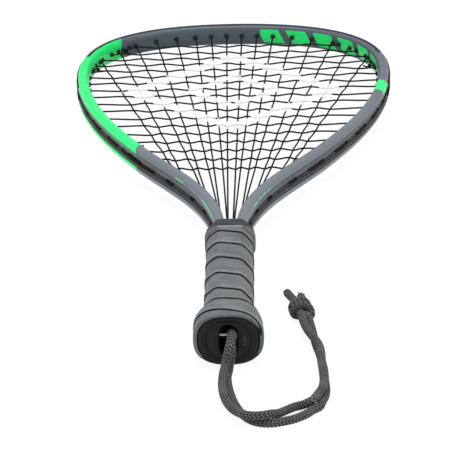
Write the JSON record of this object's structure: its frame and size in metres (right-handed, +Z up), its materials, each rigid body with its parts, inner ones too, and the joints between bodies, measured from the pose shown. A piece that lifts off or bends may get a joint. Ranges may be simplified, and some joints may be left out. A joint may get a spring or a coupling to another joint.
{
  "type": "racquetball racket",
  "caption": "Teardrop racquetball racket: oval moulded head with woven strings, two legs meeting in a wrapped handle, flared butt cap and looped wrist cord.",
  "frame": {"origin": "middle of the length and width of the racket without its wrist cord, at the level of the lowest point of the butt flare", "axes": "+Y along the handle from the butt to the head tip, +X to the right across the strings, +Z up out of the string plane"},
  "size_m": [0.2474, 0.6397, 0.0376],
  "materials": {
    "frame_paint": "satin blue-grey paint over a moulded composite tube, with green panels",
    "bumper_plastic": "blue-black moulded guard",
    "grommet_nylon": "dark grey nylon",
    "string_polymer": "black string",
    "pallet_foam": "moulded foam",
    "cap_plastic": "near-black moulded cap",
    "staple_steel": "plain wire",
    "pin_steel": "polished pin",
    "grip_tape": "grey cushioned grip tape, finely textured",
    "collar_rubber": "dark grey rubber",
    "cord_braid": "braided cord"
  },
  "bodies": {
    "root": {"frame": "frame_paint", "bumper_guard": "bumper_plastic", "grommet_strip_left": "grommet_nylon", "grommet_strip_right": "grommet_nylon", "throat_bridge": "grommet_nylon", "main_string": "string_polymer", "cross_string": "string_polymer", "tie_off_knot_1": "string_polymer", "tie_off_knot_2": "string_polymer", "tie_off_knot_3": "string_polymer", "tie_off_knot_4": "string_polymer", "handle_pallet_top": "pallet_foam", "handle_pallet_bottom": "pallet_foam", "butt_cap": "cap_plastic", "cap_staple_top": "staple_steel", "cap_staple_bottom": "staple_steel", "cord_pin": "pin_steel", "grip_tape": "grip_tape", "grip_collar": "collar_rubber", "wrist_cord": "cord_braid", "cord_knot": "cord_braid"}
  },
  "joints": []
}
